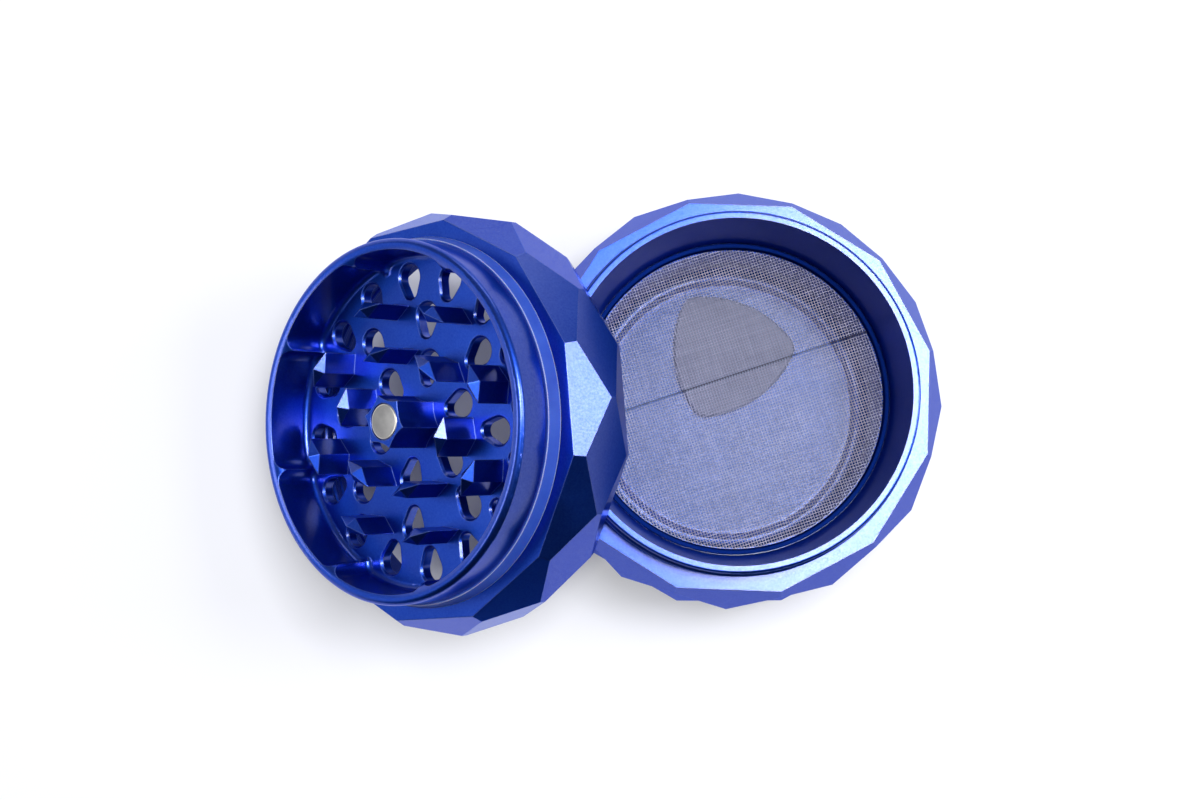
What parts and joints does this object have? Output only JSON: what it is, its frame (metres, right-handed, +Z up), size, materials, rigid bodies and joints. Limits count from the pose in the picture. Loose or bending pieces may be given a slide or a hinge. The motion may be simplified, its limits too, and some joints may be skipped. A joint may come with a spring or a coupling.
{
  "type": "herb grinder",
  "caption": "Opened metal herb grinder with gem-cut sides: a toothed grinding chamber leaning on a screen chamber screwed on a base bowl.",
  "frame": {"origin": "on the table, on the axis of the base bowl and of the screen chamber above it", "axes": "+Z up along the base bowl's axis; +X points through a facet of the screen chamber, away from the leaning grinding chamber"},
  "size_m": [0.1021, 0.0683, 0.049],
  "materials": {
    "blue_aluminium": "bead-blasted, blue anodised, satin",
    "ring_aluminium": "anodised dark blue, satin",
    "steel_mesh": "woven wire",
    "magnet_plating": "nickel plated",
    "glide_polymer": "blue, satin",
    "scraper_plastic": "smooth, satin"
  },
  "bodies": {
    "base": {"base_bowl": "blue_aluminium"},
    "scraper": {"scraper": "scraper_plastic"},
    "screen_chamber": {"screen_chamber": "blue_aluminium", "mesh_screen": "steel_mesh", "screen_retaining_ring": "ring_aluminium"},
    "grinding_chamber": {"grinding_chamber": "blue_aluminium", "centre_magnet": "magnet_plating"},
    "glide_ring": {"glide_ring": "glide_polymer"}
  },
  "joints": [
    {"name": "screen_chamber_unscrew", "type": "hinge", "parent": "base", "child": "screen_chamber", "pos_m": [0, 0, 0.01205], "axis": [0, 0, 1], "range_deg": [0, 540]},
    {"name": "scraper_lift", "type": "slide", "parent": "base", "child": "scraper", "axis": [0, 0, 1], "range_m": [0, 0.0155]},
    {"name": "grinding_chamber_lift", "type": "slide", "parent": "base", "child": "grinding_chamber", "axis": [-0.6199, -0.0799, 0.7806], "range_m": [0, 0.05]},
    {"name": "glide_ring_turn", "type": "hinge", "parent": "grinding_chamber", "child": "glide_ring", "pos_m": [-0.0465, -0.00599, 0.02806], "axis": [-0.6199, -0.0799, 0.7806], "continuous": true}
  ]
}
